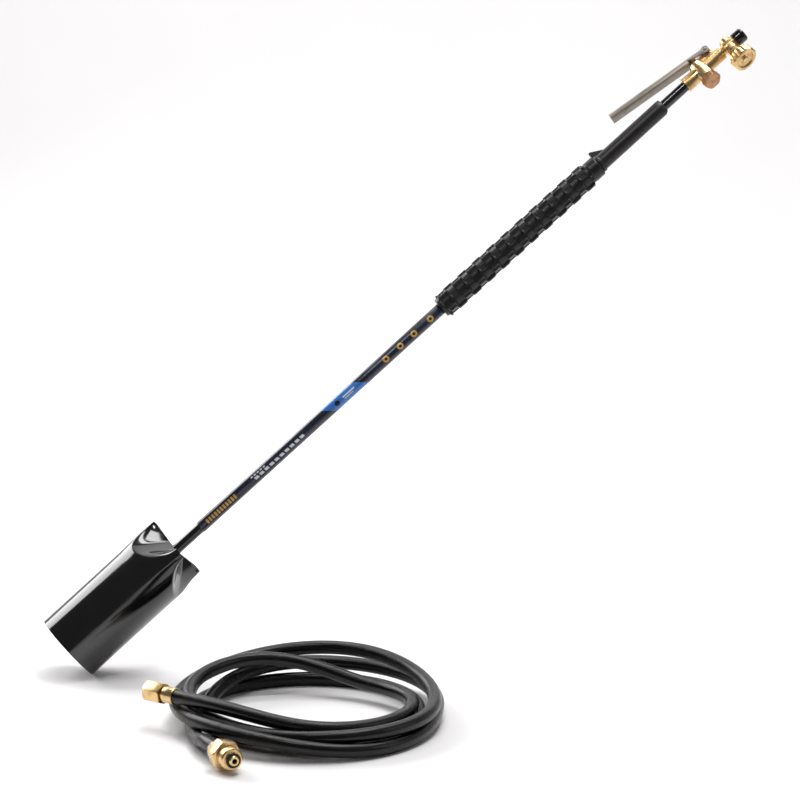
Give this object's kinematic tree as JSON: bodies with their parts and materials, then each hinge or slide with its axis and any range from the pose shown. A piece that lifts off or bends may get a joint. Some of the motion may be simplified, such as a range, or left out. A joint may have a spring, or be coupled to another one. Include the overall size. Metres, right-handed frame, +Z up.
{
  "type": "propane torch",
  "caption": "Propane weed and roofing torch: crimped flame bell on a long wand with a printed sleeve, rubber grip, squeeze-valve lever, needle valve and detached coiled gas hose.",
  "frame": {"origin": "the point under the rubber grip where the leaning wand rests on whatever holds it up", "axes": "+Z up; +X is level and points from the flame bell to the valves; +Y is level and points away from the side that the coiled hose lies on. The wand lies in the XZ plane, 40.8 degrees from level, with the rim of its bell at the level of the floor"},
  "size_m": [0.7493, 0.4143, 0.652],
  "materials": {
    "black_paint": "gloss",
    "printed_sleeve": "satin film with printed marks",
    "grip_rubber": "matt",
    "handle_plastic": "satin",
    "brass": "polished",
    "plug_brass": "satin, slightly coppery",
    "lever_nickel": "satin nickel",
    "steel": "plain",
    "cap_plastic": "gloss",
    "hose_rubber": "satin, finely ribbed",
    "ferrule_nickel": "bright nickel",
    "seal_rubber": "matt"
  },
  "bodies": {
    "wand": {"flame_bell": "black_paint", "burner_jet": "brass", "gas_tube": "black_paint", "label_sleeve": "printed_sleeve", "rubber_grip": "grip_rubber", "handle_sleeve": "handle_plastic", "squeeze_valve_body": "brass", "plunger_spring": "steel", "hex_plug": "plug_brass", "lever_pin": "steel", "needle_valve_body": "brass", "packing_nut": "brass"},
    "plunger": {"plunger": "brass", "plunger_seal": "seal_rubber"},
    "lever": {"lever": "lever_nickel"},
    "knob": {"needle_stem": "steel", "control_knob": "brass", "knob_screw": "brass"},
    "cap": {"inlet_cap": "cap_plastic"},
    "hose": {"hose_coil": "hose_rubber", "hose_lead": "hose_rubber", "hose_tail": "hose_rubber", "outlet_ferrule": "brass", "outlet_nipple": "brass", "tank_ferrule": "ferrule_nickel", "tank_nipple": "brass", "tank_seal": "seal_rubber"},
    "swivel_nut": {"swivel_nut": "brass"},
    "tank_nut": {"tank_nut": "brass"}
  },
  "joints": [
    {"name": "lever_squeeze", "type": "hinge", "parent": "wand", "child": "lever", "pos_m": [0.23302, 0.01245, 0.23049], "axis": [-0.5353, -0.5736, 0.6201], "range_deg": [0, 5], "stiffness_Nm_per_rad": 1, "springref_deg": -11.46},
    {"name": "plunger_slide", "type": "slide", "parent": "wand", "child": "plunger", "axis": [0.3748, -0.8192, -0.4342], "range_m": [0, 0.0018], "deforming": ["plunger_spring"]},
    {"name": "knob_turn", "type": "hinge", "parent": "wand", "child": "knob", "pos_m": [0.25412, 0, 0.23719], "axis": [-0.3748, 0.8192, 0.4342], "range_deg": [0, 720]},
    {"name": "cap_pull", "type": "slide", "parent": "wand", "child": "cap", "axis": [0.757, 0, 0.6534], "range_m": [0, 0.03]},
    {"name": "hose_lift", "type": "slide", "parent": "wand", "child": "hose", "axis": [0, 0, 1], "range_m": [0, 0.25]},
    {"name": "swivel_turn", "type": "hinge", "parent": "hose", "child": "swivel_nut", "pos_m": [-0.38714, -0.20707, -0.3605], "axis": [-0.6523, 0.7579, 0], "continuous": true},
    {"name": "tank_nut_turn", "type": "hinge", "parent": "hose", "child": "tank_nut", "pos_m": [-0.34453, -0.35138, -0.382], "axis": [0.2349, -0.972, 0], "continuous": true}
  ],
  "couplings": [
    {"joint": "plunger_slide", "follows": "lever_squeeze", "m_per_rad": 0.019}
  ]
}
